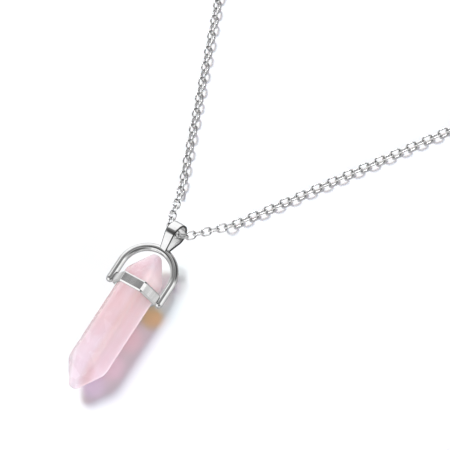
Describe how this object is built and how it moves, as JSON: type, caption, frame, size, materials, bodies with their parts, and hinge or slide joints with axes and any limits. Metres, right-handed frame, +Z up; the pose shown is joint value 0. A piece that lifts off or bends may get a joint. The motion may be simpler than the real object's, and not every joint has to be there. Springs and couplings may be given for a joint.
{
  "type": "rose quartz point necklace",
  "caption": "Pale pink faceted stone point in a silver collar and horseshoe arch, its bail on a closed fine cable chain laid flat.",
  "frame": {"origin": "centre of the whole necklace's bounding box, on the surface it lies on", "axes": "+Z up from the surface; +Y from the pendant to the clasp along the loop's middle line; +X to the right strand"},
  "size_m": [0.1078, 0.1984, 0.0091],
  "materials": {
    "rose_quartz": "polished, cloudy translucent stone",
    "silver_setting": "polished",
    "silver_chain": "polished",
    "silver_clasp": "polished"
  },
  "bodies": {
    "root": {"stone": "rose_quartz", "setting": "silver_setting", "chain": "silver_chain", "clasp": "silver_clasp"}
  },
  "joints": []
}
